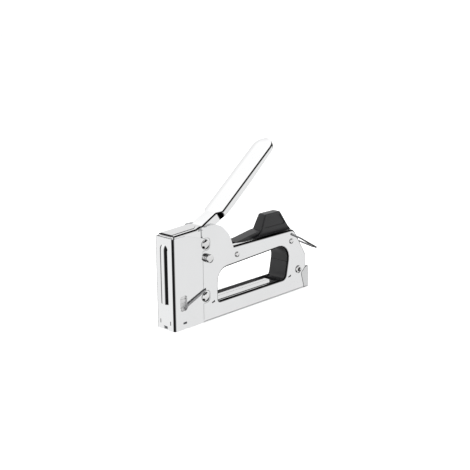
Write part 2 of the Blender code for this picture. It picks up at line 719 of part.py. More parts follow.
def section(place, half, depth, sheet, tilt=0.0, step=0.0):
    """Inverted channel section at (x, z, slope) of the lever's top line; sheet insets it.

    tilt crowns the top: it turns down by that angle before the tight edge.  step lowers the
    top beyond the raised strip in its middle.
    """
    x, z, slope = place
    edge = max(min(LEVER_EDGE, 0.8 * half) - min(sheet, 0.5 * LEVER_EDGE), 0.2)
    along, crown = math.radians(slope), math.radians(tilt)
    up = Vector((-math.sin(along), 0, math.cos(along)))
    base = Vector((x, 0, z)) - up * sheet
    shoulder = half - edge * (1 - math.sin(crown))
    flat = CROWN_FLAT * half
    fall = step + (shoulder - flat) * math.tan(crown) / 2
    points = [(half, sheet - depth)]
    for k in range(EDGE_STEPS + 1):
        a = crown + (math.pi / 2 - crown) * (1 - k / EDGE_STEPS)
        points.append((shoulder + edge * (math.sin(a) - math.sin(crown)),
                       edge * (math.cos(a) - math.cos(crown)) - fall))
    if step:
        strip = HOOD_STRIP * shoulder
        points += [(strip + step, -step), (strip, 0)]
    else:
        points += [((flat + shoulder) / 2, -fall / 4), (flat, 0)]
    points = [(-across, drop) for across, drop in points] + points[::-1]
    return [base + up * drop + Vector((0, across, 0)) for across, drop in points]


def lever_sections(sheet):
    """Sections of the lever's outer form (sheet 0) or of the hollow under it."""
    lower = OVER if sheet else 0.0
    grip = math.radians(GRIP_ANGLE)
    grip_way = Vector((math.cos(grip), math.sin(grip)))
    start = Vector((GRIP_START_X, GRIP_START_Z))
    hood_angle = math.degrees(math.atan2(HOOD_REAR_TOP - HOOD_FRONT_TOP, HOOD_REAR - HOOD_FRONT))
    arm_x = PIVOT_X + 1.0
    arm_z = GRIP_START_Z - (GRIP_START_X - arm_x) * math.tan(math.radians(ARM_ANGLE)) + 0.8
    if sheet:
        hood = [(HOOD_FRONT + HOOD_SLOPE + sheet / 2, HOOD_FRONT_TOP, LEVER_HALF, 3.0)]
    else:
        hood = [(HOOD_FRONT, HOOD_FRONT_TOP - HOOD_FALL, LEVER_HALF, 3.0),
                (HOOD_FRONT + HOOD_SLOPE, HOOD_FRONT_TOP, LEVER_HALF, 3.0)]
    hood += [
        (HOOD_FRONT + 3.0, HOOD_FRONT_TOP + 0.15, LEVER_HALF, 3.1),
        (HOOD_FRONT + 4.0, HOOD_FRONT_TOP + 0.2, LEVER_HALF, 5.0),
        (HOOD_REAR, HOOD_REAR_TOP, LEVER_HALF, 5.5),
    ]
    arm = [
        (HOOD_REAR + 6.5, HOOD_REAR_TOP + 0.6, 10.0, ARM_HALF + 0.6, 8.0),
        (arm_x, arm_z, 22.0, ARM_HALF, 9.5),
        (arm_x + 5, arm_z + 3.2, ARM_ANGLE, ARM_HALF, 10.0),
        (GRIP_START_X - 4.0, GRIP_START_Z - 2.6, 34.0, ARM_HALF, 10.0),
        (GRIP_START_X - 3.0, GRIP_START_Z - 2.0, 36.0, ARM_HALF + 0.4, 9.2),
    ]
    rings = [section((x, z, hood_angle), half - sheet, depth + lower, sheet, step=HOOD_STEP)
             for x, z, half, depth in hood]
    rings += [section((x, z, slope), half - sheet, depth + lower, sheet)
              for x, z, slope, half, depth in arm]
    straight = GRIP_LENGTH - GRIP_HALF
    for share, half, depth, tilt in (
        (-0.01, GRIP_HALF - 0.4, 7.6, 0.5 * CROWN_TILT), (0.01, GRIP_HALF, 8.2, CROWN_TILT),
        (0.14, GRIP_HALF, 8.8, CROWN_TILT), (0.5, GRIP_HALF, 8.6, CROWN_TILT),
        (1.0, GRIP_HALF, 6.6, CROWN_TILT),
    ):
        point = start + grip_way * straight * share
        rings.append(section((point.x, point.y, GRIP_ANGLE), half - sheet, depth + lower,
                             sheet, tilt))
    radius = GRIP_HALF - sheet
    for turn in (18, 36, 52, 66, 78, 86):
        a = math.radians(turn)
        ahead = radius * math.sin(a)
        drop = TIP_DROP * (ahead / GRIP_HALF) ** 2
        slope = GRIP_ANGLE - math.degrees(2 * TIP_DROP * ahead / GRIP_HALF ** 2)
        point = start + grip_way * (straight + ahead)
        rings.append(section((point.x, point.y - drop, slope), max(radius * math.cos(a), 0.5),
                             5.6 + lower, sheet, CROWN_TILT))
    return rings


def lever_cheek_outline():
    """Side arm of the lever: it carries the pivot hole and the fork that lifts the driver."""
    way = Matrix.Rotation(math.radians(180 + CLOSE_ANGLE / 2), 2) @ Vector((1, 0))
    side = Vector((-way.y, way.x))
    pivot = Vector((PIVOT_X, PIVOT_Z))
    half = LIFT_PIN_R + FORK_SLACK + 2.0
    reach = math.hypot(PIVOT_X - LIFT_PIN_X, PIVOT_Z - LIFT_PIN_Z) + LIFT_PIN_R + 0.9
    low_tip = pivot + way * reach + side * half
    high_tip = pivot + way * reach - side * half
    ring = 7.6
    below = LEVER_EDGE + HOOD_STEP + CLEAR
    return [
        (low_tip.x, low_tip.y, 1.5),
        (PIVOT_X - 2, PIVOT_Z - ring, 3),
        (PIVOT_X + ring, PIVOT_Z - ring, 7),
        (PIVOT_X + ring, PIVOT_Z + ring, 7),
        (PIVOT_X - 5, HOOD_REAR_TOP - below - 0.1, 4),
        (HOOD_REAR, HOOD_REAR_TOP - below, 0),
        (HOOD_FRONT + 3.6, HOOD_FRONT_TOP - below, 0.5),
        (high_tip.x + 0.6, high_tip.y, 1.5),
    ]


def make_lever():
    lever = loft("lever_handle", lever_sections(0.0))
    cut(lever, loft("lever_hollow", lever_sections(LEVER_SHEET)))
    for side, label in ((-1, "near"), (1, "far")):
        join(lever, extrude("lever_cheek_" + label, "XZ", lever_cheek_outline(),
                            side * (LEVER_HALF - LEVER_SHEET + SKIM),
                            side * (LEVER_HALF - SKIM)))
    cut(lever, rivet_hole("lever_pivot_hole", PIVOT_X, PIVOT_Z, BIG_SHAFT + CLEAR))
    cut(lever, fork_slot())
    origin_at(lever, PIVOT_X, PIVOT_Z)
    return lever


def fork_slot():
    """Open slot in both lever cheeks, pointing at the pivot, in which the lift pin slides."""
    half = LIFT_PIN_R + FORK_SLACK
    reach = PIVOT_X - LIFT_PIN_X
    turn = Matrix.Rotation(math.radians(180 + CLOSE_ANGLE / 2), 2)
    corners = []
    for along, across in ((reach - 4.5, -half), (reach + 12, -half), (reach + 12, half),
                          (reach - 4.5, half)):
        point = Vector((PIVOT_X, PIVOT_Z)) + turn @ Vector((along, across))
        corners.append((point.x, point.y, 2.2 if along < reach else 0))
    return extrude("fork_slot", "XZ", corners, -HALF_WIDTH, HALF_WIDTH)


# ---------------------------------------------------------------- driver

def make_driver_blade():
    front = PLATE + 0.4
    top = LIFT_PIN_Z + 4.0
    blade = block("driver_blade", (front, -DRIVER_HALF, 1.6),
                  (front + DRIVER_SHEET, DRIVER_HALF, top))
    stud_z = PLUNGER_BOTTOM + HAMMER_STUD_RISE
    cut(blade, rod("driver_hole", (0, 0, stud_z), (front + DRIVER_SHEET + OVER, 0, stud_z),
                   HAMMER_STUD_R + CLEAR))
    return blade


def make_plunger():
    front = PLATE + 0.4 + DRIVER_SHEET + CLEAR
    rear = SPRING_X - SPRING_R - SPRING_WIRE - 1.0
    shelf = PLUNGER_BOTTOM + PLUNGER_SHELF
    plunger = block("plunger", (front, -PLUNGER_HALF, PLUNGER_BOTTOM),
                    (rear, PLUNGER_HALF, LIFT_PIN_Z + 4.2))
    join(plunger, block("plunger_shelf", (rear - OVER, -PLUNGER_HALF + SKIM, PLUNGER_BOTTOM + SKIM),
                        (PLUNGER_REAR, PLUNGER_HALF - SKIM, shelf)))
    stud_z = PLUNGER_BOTTOM + HAMMER_STUD_RISE
    join(plunger, rod("plunger_stud", (front - DRIVER_SHEET + 0.1, 0, stud_z),
                      (front + OVER, 0, stud_z), HAMMER_STUD_R))
    join(plunger, rod("spring_boss", (SPRING_X, 0, shelf - OVER), (SPRING_X, 0, shelf + 5),
                      SPRING_R - SPRING_WIRE - 0.6))
    cut(plunger, rivet_hole("plunger_hole", LIFT_PIN_X, LIFT_PIN_Z, LIFT_PIN_R + CLEAR))
    return plunger


def make_lift_pin():
    half = LEVER_HALF
    return rod("lift_pin", (LIFT_PIN_X, -half, LIFT_PIN_Z), (LIFT_PIN_X, half, LIFT_PIN_Z),
               LIFT_PIN_R, 20)


def coil(name, start, way, mean_radius, wire_radius, length, turns, per_turn=12):
    """Helical spring whose axis runs from start along way ("X" or "Z")."""
    points = []
    span = length - 2 * wire_radius
    for k in range(turns * per_turn + 1):
        a = 2 * math.pi * k / per_turn
        rise = wire_radius + span * k / (turns * per_turn)
        u, v = mean_radius * math.cos(a), mean_radius * math.sin(a)
        x, y, z = start
        points.append((x + u, y + v, z + rise) if way == "Z" else (x + rise, y + u, z + v))
    return wire(name, points, wire_radius)


def make_main_spring():
    low = PLUNGER_BOTTOM + PLUNGER_SHELF + 0.5
    return coil("main_spring", (SPRING_X, 0, low), "Z", SPRING_R, SPRING_WIRE,
                SEAT_Z - 0.5 - low, SPRING_TURNS)


def make_bumper():
    return block("shock_bumper", (6.0, -PLUNGER_HALF, CHANNEL_TOP + CLEAR),
                 (PLUNGER_REAR, PLUNGER_HALF, PLUNGER_BOTTOM - CLEAR), 0.8)


def make_rack(name, side):
    """Notched plate behind a window, for the power adjuster's wire."""
    outer = INNER - CLEAR
    rack = block(name, (WINDOW_X - RACK_HALF_X, side * (outer - RACK_SHEET), WINDOW_Z - RACK_HALF_Z),
                 (WINDOW_X + RACK_HALF_X, side * outer, WINDOW_Z + RACK_HALF_Z))
    reach = RACK_HALF_X + OVER
    for k in (-1, 0, 1):
        low = WINDOW_Z + RACK_PITCH * k - RACK_GROOVE / 2
        cut(rack, block(name + "_groove", (WINDOW_X - reach, side * (outer - RACK_GROOVE_DEPTH), low),
                        (WINDOW_X + reach, side * (outer + OVER), low + RACK_GROOVE)))
    return rack


# ---------------------------------------------------------------- magazine

def make_channel():
    """Fixed guide between the side plates, open below."""
    half = INNER - 0.4
    wall = half - CHANNEL_SHEET
    low = BODY_BOTTOM + 0.8
    outline = [
        (-half, low, 0), (-wall, low, 0), (-wall, CHANNEL_TOP - CHANNEL_SHEET, 0),
        (wall, CHANNEL_TOP - CHANNEL_SHEET, 0), (wall, low, 0), (half, low, 0),
        (half, CHANNEL_TOP, 1.0), (-half, CHANNEL_TOP, 1.0),
    ]
    return extrude("magazine_channel", "YZ", outline, 5.2, BODY_REAR - 9.0)


RAIL_BOTTOM = BODY_BOTTOM + 0.2
RAIL_OUTER = STAPLE_CROWN / 2 - STAPLE_WIRE - 0.35
CROWN_Z = CHANNEL_TOP - CHANNEL_SHEET - 1.4     # top of the staples
RAIL_WALL_TOP = CROWN_Z - STAPLE_WIRE - CLEAR
MAGAZINE_FRONT = PLATE + 0.4 + DRIVER_SHEET + 0.4


def make_rail():
    """Sliding rail: a floor and two walls that the staples ride on."""
    foot, inner = INNER - 0.4 - CHANNEL_SHEET - LOOSE, RAIL_OUTER - 1.0
    floor = RAIL_BOTTOM + 1.0
    outline = [
        (-foot, RAIL_BOTTOM, 0), (foot, RAIL_BOTTOM, 0), (foot, floor, 0),
        (RAIL_OUTER, floor, 0), (RAIL_OUTER, RAIL_WALL_TOP, 0.3), (inner, RAIL_WALL_TOP, 0.3),
        (inner, floor, 0), (-inner, floor, 0), (-inner, RAIL_WALL_TOP, 0.3),
        (-RAIL_OUTER, RAIL_WALL_TOP, 0.3), (-RAIL_OUTER, floor, 0), (-foot, floor, 0),
    ]
    return extrude("magazine_rail", "YZ", outline, MAGAZINE_FRONT, BODY_REAR - 2.9)


def make_strip():
    """Glued strip of staples, saddled on the rail."""
    half = STAPLE_CROWN / 2
    inner = half - STAPLE_WIRE
    low = CROWN_Z - STAPLE_LEG
    outline = [
        (-half, low, 0), (-inner, low, 0), (-inner, CROWN_Z - STAPLE_WIRE, 0),
        (inner, CROWN_Z - STAPLE_WIRE, 0), (inner, low, 0), (half, low, 0),
        (half, CROWN_Z, 0.4), (-half, CROWN_Z, 0.4),
    ]
    return extrude("staple_strip", "YZ", outline, MAGAZINE_FRONT, MAGAZINE_FRONT + STRIP_LENGTH)


def pusher_range():
    front = MAGAZINE_FRONT + STRIP_LENGTH + CLEAR
    return front, front + PUSHER_LENGTH


def make_pusher():
    """Follower behind the strip, saddled on the rail with a tongue between its walls."""
    half, inner = STAPLE_CROWN / 2 + 0.9, RAIL_OUTER + CLEAR
    tongue = RAIL_OUTER - 1.0 - CLEAR
    low, roof, top = RAIL_BOTTOM + 1.4, RAIL_WALL_TOP + CLEAR, CROWN_Z + 0.8
    outline = [
        (-half, low, 0), (-inner, low, 0), (-inner, roof, 0), (-tongue, roof, 0),
        (-tongue, low, 0), (tongue, low, 0), (tongue, roof, 0), (inner, roof, 0),
        (inner, low, 0), (half, low, 0), (half, top, 0.8), (-half, top, 0.8),
    ]
    front, rear = pusher_range()
    pusher = extrude("staple_pusher", "YZ", outline, front, rear)
    z = rod_height()
    cut(pusher, rod("pusher_bore", (front - OVER, 0, z), (rear + OVER, 0, z),
                    GUIDE_ROD_R + CLEAR, 16))
    return pusher


def rod_height():
    return (RAIL_BOTTOM + RAIL_WALL_TOP) / 2


def make_pusher_rod():
    front, _ = pusher_range()
    z = rod_height()
    return rod("pusher_rod", (front + 3, 0, z), (BODY_REAR - 3.0, 0, z), GUIDE_ROD_R, 12)


def make_pusher_spring():
    _, rear = pusher_range()
    length = BODY_REAR - 3.4 - (rear + 0.5)
    return coil("pusher_spring", (rear + 0.5, 0, rod_height()), "X", PUSHER_SPRING_R,
                PUSHER_SPRING_WIRE, length, PUSHER_SPRING_TURNS, 8)


def make_latch():
    """Pressed cap at the back of the magazine, pulled to load staples."""
    latch = extrude("magazine_latch", "XZ", latch_outline(), -HALF_WIDTH, HALF_WIDTH, edge=0.7)
    hollow = inset(latch_outline(), PLATE)
    hollow[0] = (hollow[0][0] - 8, -OVER, 0)
    hollow[1] = (hollow[1][0], -OVER, 0)
    hollow[-1] = (hollow[-1][0] - 8, hollow[-1][1], 0)
    cut(latch, extrude("latch_hollow", "XZ", hollow, -INNER, INNER))
    foot = INNER - 0.4 - CHANNEL_SHEET - LOOSE
    join(latch, block("latch_tongue", (BODY_REAR - 2.6, -foot, RAIL_BOTTOM),
                      (LATCH_REAR - PLATE / 2, foot, RAIL_WALL_TOP)))
    return latch


# ---------------------------------------------------------------- wires

def bend(points, radius, steps=5):
    """A path of straight runs joined by round bends."""
    points = [Vector(point) for point in points]
    path = [points[0]]
    for before, here, after in zip(points, points[1:], points[2:]):
        u, v = (before - here).normalized(), (after - here).normalized()
        half = u.angle(v) / 2
        reach = min(radius / math.tan(half), 0.6 * (before - here).length,
                    0.6 * (after - here).length)
        turn = reach * math.tan(half)
        centre = here + (u + v).normalized() * (turn / math.sin(half))
        start, end = here + u * reach - centre, here + v * reach - centre
        path += [centre + start.slerp(end, k / steps) for k in range(steps + 1)]
    path.append(points[-1])
    return path


def make_bail():
    """Sprung wire loop hinged in the side plates: its arms close in to a narrow end."""
    slope = math.radians(BAIL_SLOPE)
    turn = BAIL_WIRE + WIRE_GAP
    side = HALF_WIDTH + turn

    def arm(distance, y):
        return (BAIL_X + distance * math.cos(slope), y, BAIL_Z - distance * math.sin(slope))

    half = [arm(0, HALF_WIDTH - 2.0), arm(0, side), arm(BAIL_STRAIGHT, side),
            arm(BAIL_REACH, BAIL_END_HALF)]
    path = [(x, -y, z) for x, y, z in half] + half[::-1]
    bail = wire("wire_bail", bend(path, turn), BAIL_WIRE)
    origin_at(bail, BAIL_X, BAIL_Z)
    return bail


def make_adjuster():
    """Wire of the power adjuster: through the body, along both sides, into the windows."""
    turn = ADJUSTER_WIRE + WIRE_GAP
    side = HALF_WIDTH + turn
    tip_x, tip_z = WINDOW_X + 3.0, WINDOW_Z - 2.2
    hook_x, hook_z = tip_x - 0.6, tip_z - ADJUSTER_HOOK
    half = [(hook_x, INNER, hook_z), (hook_x, side, hook_z), (tip_x, side, tip_z),
            (ADJUSTER_X, side, ADJUSTER_Z)]
    path = [(x, -y, z) for x, y, z in half] + half[::-1]
    adjuster = wire("power_adjuster", bend(path, turn), ADJUSTER_WIRE)
    origin_at(adjuster, ADJUSTER_X, ADJUSTER_Z)
    return adjuster


# ---------------------------------------------------------------- assembly

def clear_scene():
    for old in list(bpy.data.objects):
        bpy.data.objects.remove(old, do_unlink=True)


def collection(name):
    group = bpy.data.collections.new(name)
    bpy.context.scene.collection.children.link(group)
    return group


def main():
    global PARTS, CUTTERS, ROOT
    clear_scene()
    PARTS = collection("staple_gun")
    CUTTERS = collection("cutters")
    ROOT = bpy.data.objects.new("staple_gun_root", None)
    PARTS.objects.link(ROOT)
    looks = make_materials()
    big = (BIG_SHAFT, BIG_HEAD, BIG_DOME)
    small = (SMALL_SHAFT, SMALL_HEAD, SMALL_DOME)
    far_shell = make_shell()
    pieces = {
        "chrome": [
            far_shell, mirror_image("near_shell", far_shell), make_nose_cover(),
            make_lever(), make_latch(),
            make_rivet("lever_pivot", PIVOT_X, PIVOT_Z, *big),
            make_rivet("lower_rivet", LOWER_RIVET_X, LOWER_RIVET_Z, *big),
            make_rivet("front_rail_rivet", FRONT_RIVET_X, FRONT_RIVET_Z, *small),
            make_rivet("rear_rail_rivet", REAR_RIVET_X, REAR_RIVET_Z, *small),
            make_stud(), make_tube_rivet(),
        ],
        "steel": [
            make_frame(), make_driver_blade(), make_plunger(), make_lift_pin(), make_channel(),
            make_rail(), make_pusher(), make_pusher_rod(), make_bail(), make_adjuster(),
            make_rack("near_adjuster_rack", -1), make_rack("far_adjuster_rack", 1),
        ],
        "spring": [make_main_spring(), make_pusher_spring()],
        "staple": [make_strip()],
        "plastic": [
            make_block(),
            make_liner("upper_hole_liner", LINER_FRONT, LINER_SEAM + CLEAR, RAIL_TOP - 4),
            make_liner("lower_hole_liner", LINER_FRONT + 6, HOLE_BOTTOM - LINER - OVER, LINER_SEAM),
        ],
        "rubber": [make_bumper()],
    }
    for look, group in pieces.items():
        for piece in group:
            finish(piece, looks[look])
    bail_end = BAIL_X + BAIL_REACH * math.cos(math.radians(BAIL_SLOPE)) + BAIL_WIRE
    ROOT.location.x = -(bail_end - BEAD_RISE) / 2 * MM


main()
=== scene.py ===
"""Looks of the hand staple gun: chrome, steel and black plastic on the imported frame.

Everything is in metres in the frame's own axes: nose towards -X, far side towards +Y, up +Z.
"""
import json
import math

import bmesh
import bpy
from mathutils import Matrix, Vector

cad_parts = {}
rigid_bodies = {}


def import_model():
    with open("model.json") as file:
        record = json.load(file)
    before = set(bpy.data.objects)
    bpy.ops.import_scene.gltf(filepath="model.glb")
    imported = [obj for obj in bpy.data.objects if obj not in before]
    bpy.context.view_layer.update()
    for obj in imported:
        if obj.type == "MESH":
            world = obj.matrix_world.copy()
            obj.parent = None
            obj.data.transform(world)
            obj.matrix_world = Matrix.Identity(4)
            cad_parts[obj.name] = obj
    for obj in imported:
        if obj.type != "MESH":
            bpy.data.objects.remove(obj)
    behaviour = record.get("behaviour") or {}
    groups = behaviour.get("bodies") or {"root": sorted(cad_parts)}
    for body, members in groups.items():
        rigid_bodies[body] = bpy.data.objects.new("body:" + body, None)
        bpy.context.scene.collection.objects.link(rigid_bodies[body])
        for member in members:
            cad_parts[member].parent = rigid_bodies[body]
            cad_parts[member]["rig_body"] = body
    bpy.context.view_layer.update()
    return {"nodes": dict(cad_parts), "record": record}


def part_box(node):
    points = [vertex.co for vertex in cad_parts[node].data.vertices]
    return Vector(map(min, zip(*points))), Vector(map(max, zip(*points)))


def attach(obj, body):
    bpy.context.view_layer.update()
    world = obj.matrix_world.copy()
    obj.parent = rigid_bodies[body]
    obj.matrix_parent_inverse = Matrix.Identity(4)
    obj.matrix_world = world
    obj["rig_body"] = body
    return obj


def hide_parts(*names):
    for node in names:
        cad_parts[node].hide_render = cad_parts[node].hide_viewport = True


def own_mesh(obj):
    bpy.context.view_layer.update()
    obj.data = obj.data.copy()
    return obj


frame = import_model()
NODES = frame["nodes"]
MM = 0.001
X, Z = 0, 2
SIDES = (("near", -1), ("far", 1))

# Chrome: which faces of pressed sheet are bends, told by how far they lean, and how dark they are
# painted; the dark is painted reflection, put into the colour by the face's own direction rather than
# mirrored from the studio.
BEND_PAINTED_REFLECTION_TONE = 0.012
BEND_FADE = 0.06
BODY_PAINTED_BENDS = (0.24, 0.95)
LEVER_PAINTED_BENDS = (0.5, 0.95)
LEVER_PAINTED_SLOPES = (0.25, 0.62)     # rise of the bend faces at the lever's front
FRONT_FACING = (-0.75, -0.65)   # how far forward a face looks before it counts as front

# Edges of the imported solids, in millimetres, and the angle above which an edge is rounded.
EDGES = {
    "near_shell": 0.15, "far_shell": 0.15, "nose_cover": 0.35, "lever_handle": 0.25,
    "grip_block": 0.35, "magazine_latch": 0.7,
}
COMMON_EDGE = 0.1
SHARP_ANGLE = 40.0              # degrees
FLAT_ANGLE = 0.6                # degrees between triangles of one flat face
WELD_GAP = 1e-6

# Nodes that look different from what their slot in the record says.
OTHER_LOOKS = {
    # dark steel on the parts seen through the nose's slots, as painted shade in the slots; bright racks
    # behind the windows
    "driver_blade": "spring_steel",
    "magazine_channel": "spring_steel",
    "magazine_latch": "latch_chrome",
    "near_adjuster_rack": "rack_steel",
    "far_adjuster_rack": "rack_steel",
}

# Springs: wire radius, turns and the share of its length that each keeps when it is shortest.
MAIN_WIRE, MAIN_TURNS, MAIN_KEEP = 1.15 * MM, 7, 0.52
PUSHER_WIRE, PUSHER_TURNS, PUSHER_KEEP = 0.35 * MM, 34, 0.16
WIRE_SIDES = 10
COIL_STEPS = 28                 # points per turn
FLAT_TURNS = 0.8                # closed turns at each end

STAPLE_WIRE = 0.55 * MM
STAPLE_GAP = 0.08 * MM

# Small tabs pressed out of the side plates below the hole, coloured black as painted shade.
LANCE_LONG = 3.6 * MM
LANCE_TALL = 2.2 * MM
LANCE_THICK = 1.1 * MM
LANCE_STEP = 0.25               # share of the height at which the L bends
LANCE_PROUD = 0.25 * MM
LANCE_SUNK = 0.4 * MM
LANCE_RISE = 2.6 * MM           # above the lining's underside
FRONT_LANCE = 3.5 * MM          # behind the lower rivet
REAR_LANCE = 1.0 * MM           # ahead of the lining's rear end
LANCE_EDGE = 0.08

# Black strips that carry the hole's lining forward along its lower edges.
LINER_WALL = 2.4 * MM           # thickness of the hole's lining
LIP_FRONT = 14.5 * MM           # start of the strips behind the lower rivet
LIP_LAP = 6.0 * MM              # overlap with the lining
LIP_BACK = 2.7 * MM             # from the side plate's outer face to the strip
LIP_THICK = 0.9 * MM
LIP_SUNK = 0.3 * MM
LIP_ROUND = 0.4 * MM
LIP_RISE = {"near": 0.45 * MM, "far": 1.7 * MM}

# Studio, in metres, degrees and watts.
FLOOR_RADII = (1.5, 3.0, 6.0)
FLOOR_SIDES = 32
PLAIN_LIGHT = 1.12              # white light on everything that isn't a mirror
MIRROR_DARK = 0.004             # tone of the dark patches in mirrors
MIRROR_LIGHT = (0.90, 1.06)     # strength of the white studio in mirrors, low and high up
MIRROR_HEIGHTS = (-0.3, 0.7)
DARK_PATCHES = (
    # azimuth, elevation, inner and outer radius, darkness: four corners above and below the tool
    # that rivets and wires mirror, and a wide, faint one beyond it
    (250.0, 42.0, 18.0, 24.0, 1.0),
    (300.0, 44.0, 18.0, 24.0, 1.0),
    (350.0, 44.0, 18.0, 24.0, 1.0),
    (8.0, -50.0, 30.0, 36.0, 1.0),
    (240.0, -52.0, 26.0, 32.0, 1.0),
    (44.0, 15.0, 14.0, 44.0, 0.2),
)
LIGHT_TARGET = (0, 0, 0.08)
CAMERA_PLACE = (-0.6560, -0.6194, 0.3059)
CAMERA_TURN, CAMERA_DROP, CAMERA_ROLL = 44.0, 14.7, -0.5
LENS, SENSOR = 72.8, 36.0       # millimetres
CLIP_START, CLIP_END = 0.01, 50.0


# ---------------------------------------------------------------- shader helpers

class Shader:
    """Small helper that adds nodes to a material or world and links them."""

    def __init__(self, tree):
        self.tree = tree
        self.tree.nodes.clear()

    def node(self, kind, inputs=None, **settings):
        made = self.tree.nodes.new(kind)
        for key, value in settings.items():
            setattr(made, key, value)
        for key, value in (inputs or {}).items():
            if isinstance(value, bpy.types.NodeSocket):
                self.tree.links.new(value, made.inputs[key])
            else:
                made.inputs[key].default_value = value
        return made

    def noise(self, vector, scale, detail=3.0, roughness=0.55):
        made = self.node("ShaderNodeTexNoise", {
            "Vector": vector, "Scale": scale, "Detail": detail, "Roughness": roughness})
        return made.outputs["Fac"]

    def remap(self, value, low, high, to_low, to_high):
        made = self.node("ShaderNodeMapRange", {
            "Value": value, "From Min": low, "From Max": high, "To Min": to_low, "To Max": to_high})
        return made.outputs["Result"]

    def math(self, operation, a, b):
        return self.node("ShaderNodeMath", {0: a, 1: b}, operation=operation).outputs[0]

    def mix(self, factor, a, b):
        made = self.node("ShaderNodeMix", data_type="RGBA")
        for key, value in (("Factor_Float", factor), ("A_Color", a), ("B_Color", b)):
            socket = next(s for s in made.inputs if s.identifier == key)
            if isinstance(value, bpy.types.NodeSocket):
                self.tree.links.new(value, socket)
            else:
                socket.default_value = value
        return next(s for s in made.outputs if s.identifier == "Result_Color")

    def stretched(self, vector, scale):
        return self.node("ShaderNodeMapping", {"Vector": vector, "Scale": scale}).outputs["Vector"]


def grey(value, alpha=1.0):
    return (value, value, value, alpha)


def between(s, value, low, high):
    """1 where the value lies between two limits, with soft ends."""
    rising = s.remap(value, low - BEND_FADE, low + BEND_FADE, 0.0, 1.0)
    falling = s.remap(value, high - BEND_FADE, high + BEND_FADE, 1.0, 0.0)
    return s.math("MULTIPLY", rising, falling)


def painted_bend_reflection_mask(s, painted_bends, painted_slopes):
    """1 on the tight bends of pressed sheet, where dark reflection is painted into the colour.

    A face is on a bend when its normal's sideways share is within the bend limits or, at the front,
    when the normal's upward share is within the slope limits. The dark there is painted reflection, set
    by the face's own direction rather than by the dark studio mirrored in the plate.
    """
    facing = s.node("ShaderNodeTexCoord").outputs["Normal"]
    parts = s.node("ShaderNodeSeparateXYZ", {"Vector": facing}).outputs
    mask = between(s, s.math("ABSOLUTE", parts["Y"], 0.0), *painted_bends)
    if painted_slopes:
        front = s.remap(parts["X"], *FRONT_FACING, 1.0, 0.0)
        mask = s.math("MAXIMUM", mask, s.math("MULTIPLY", front, between(s, parts["Z"], *painted_slopes)))
    return mask


def new_material(name):
    """An empty material, its shader helper and the object's own coordinates."""
    material = bpy.data.materials.new(name)
    material.use_nodes = True
    s = Shader(material.node_tree)
    return material, s, s.node("ShaderNodeTexCoord").outputs["Object"]


def make_metal(name, colour, roughness, scratches, dirt, painted_bends=None, painted_slopes=None):
    """Metal with uneven polish, fine scratches and smudges, and painted dark reflection on bends where
    limits are given.
    """
    material, s, place = new_material(name)
    smudge = s.noise(place, 55.0, 4.0, 0.6)
    cloud = s.noise(place, 14.0, 2.0)
    lines = s.noise(s.stretched(place, (90.0, 1500.0, 1500.0)), 1.0, 2.0)
    pits = s.noise(place, 900.0, 2.0)
    worn = s.remap(s.node("ShaderNodeNewGeometry").outputs["Pointiness"], 0.53, 0.62, 0.0, 1.0)
    polish = s.remap(smudge, 0.35, 0.75, roughness * 0.7, roughness * 1.6)
    polish = s.math("ADD", polish, s.math("MULTIPLY", worn, 0.06))
    polish = s.math("ADD", polish, s.remap(lines, 0.4, 0.8, 0.0, scratches))
    darker = tuple(c * (1.0 - dirt) for c in colour[:3]) + (1.0,)
    tint = s.mix(s.remap(cloud, 0.35, 0.7, 0.0, 1.0), colour, darker)
    # painted reflection: bends get a near-black colour chosen by the face's own direction
    if painted_bends:
        tint = s.mix(painted_bend_reflection_mask(s, painted_bends, painted_slopes), tint, grey(BEND_PAINTED_REFLECTION_TONE))
    height = s.math("ADD", s.math("MULTIPLY", lines, 0.6), s.math("MULTIPLY", pits, 0.4))
    bump = s.node("ShaderNodeBump", {
        "Strength": 0.04 + scratches, "Distance": 0.00002, "Height": height})
    body = s.node("ShaderNodeBsdfPrincipled", {
        "Base Color": tint, "Metallic": 1.0, "Roughness": polish, "Normal": bump.outputs["Normal"]})
    s.node("ShaderNodeOutputMaterial", {"Surface": body.outputs["BSDF"]})
    return material


def make_plastic(name, colour, roughness, grain):
    """Moulded black plastic or rubber: fine grain, uneven sheen and rubbed edges."""
    material, s, place = new_material(name)
    fine = s.noise(place, 1800.0, 3.0, 0.6)
    cloud = s.noise(place, 45.0, 3.0)
    worn = s.remap(s.node("ShaderNodeNewGeometry").outputs["Pointiness"], 0.52, 0.6, 0.0, 1.0)
    lighter = tuple(min(1.0, c * 1.9 + 0.01) for c in colour[:3]) + (1.0,)
    tint = s.mix(s.math("MULTIPLY", worn, 0.6), colour, lighter)
    sheen = s.remap(cloud, 0.3, 0.7, roughness * 0.8, roughness * 1.25)
    bump = s.node("ShaderNodeBump", {"Strength": grain, "Distance": 0.00005, "Height": fine})
    body = s.node("ShaderNodeBsdfPrincipled", {
        "Base Color": tint, "Metallic": 0.0, "Roughness": sheen, "Normal": bump.outputs["Normal"]})
    s.node("ShaderNodeOutputMaterial", {"Surface": body.outputs["BSDF"]})
    return material


